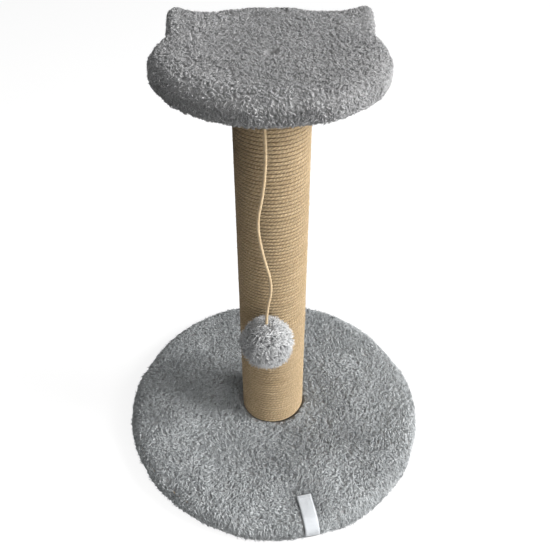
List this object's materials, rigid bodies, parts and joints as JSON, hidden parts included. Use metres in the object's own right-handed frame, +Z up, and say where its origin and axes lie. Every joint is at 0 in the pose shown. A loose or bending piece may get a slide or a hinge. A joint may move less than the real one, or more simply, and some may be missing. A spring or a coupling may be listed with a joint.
{
  "type": "cat scratcher",
  "caption": "Free-standing cat scratching post: rope-wound post on a round plush base, cat-head plush platform on top and a plush ball that hangs on a cord.",
  "frame": {"origin": "on the floor under the post's axis, at the middle of the round base", "axes": "+Z up along the post, -Y to the front where the ball hangs, ears of the platform towards +Y"},
  "size_m": [0.3874, 0.3874, 0.5165],
  "materials": {
    "plush": "short curly grey pile",
    "rope": "twisted jute rope",
    "cord": "thin twisted pale cord",
    "tag": "plain white woven ribbon",
    "backing": "black nonwoven sheet",
    "filling": "white fibre filling",
    "board": "raw chipboard",
    "plug": "raw softwood",
    "tube": "spiral-wound brown card",
    "steel": "zinc-plated steel"
  },
  "bodies": {
    "stand": {"base_board": "board", "base_cover": "plush", "base_backing": "backing", "base_staples": "steel", "base_tag": "tag", "base_bolt": "steel", "base_washer": "steel", "bottom_plug": "plug", "bottom_tee_nut": "steel", "bottom_plug_nails": "steel", "post_tube": "tube", "rope_winding": "rope", "rope_sleeve": "rope", "top_plug": "plug", "top_tee_nut": "steel", "top_plug_nails": "steel", "platform_board": "board", "platform_cover": "plush", "platform_backing": "backing", "platform_staples": "steel", "platform_bolt": "steel", "platform_washer": "steel", "cord_staple": "steel"},
    "hanger": {"cord_loop": "cord"},
    "line": {"toy_cord": "cord", "toy_knot": "cord"},
    "toy": {"toy_skin": "plush", "toy_filling": "filling"}
  },
  "joints": [
    {"name": "toy_swing_forward", "type": "hinge", "parent": "stand", "child": "hanger", "pos_m": [-0.00774, -0.07239, 0.487], "axis": [-1, 0, 0], "range_deg": [0, 60]},
    {"name": "toy_swing_side", "type": "hinge", "parent": "hanger", "child": "line", "pos_m": [-0.00774, -0.07239, 0.477], "axis": [0, 1, 0], "range_deg": [-50, 50]},
    {"name": "toy_spin", "type": "hinge", "parent": "line", "child": "toy", "pos_m": [-0.00774, -0.07239, 0.2295], "axis": [0, 0, 1], "continuous": true}
  ]
}
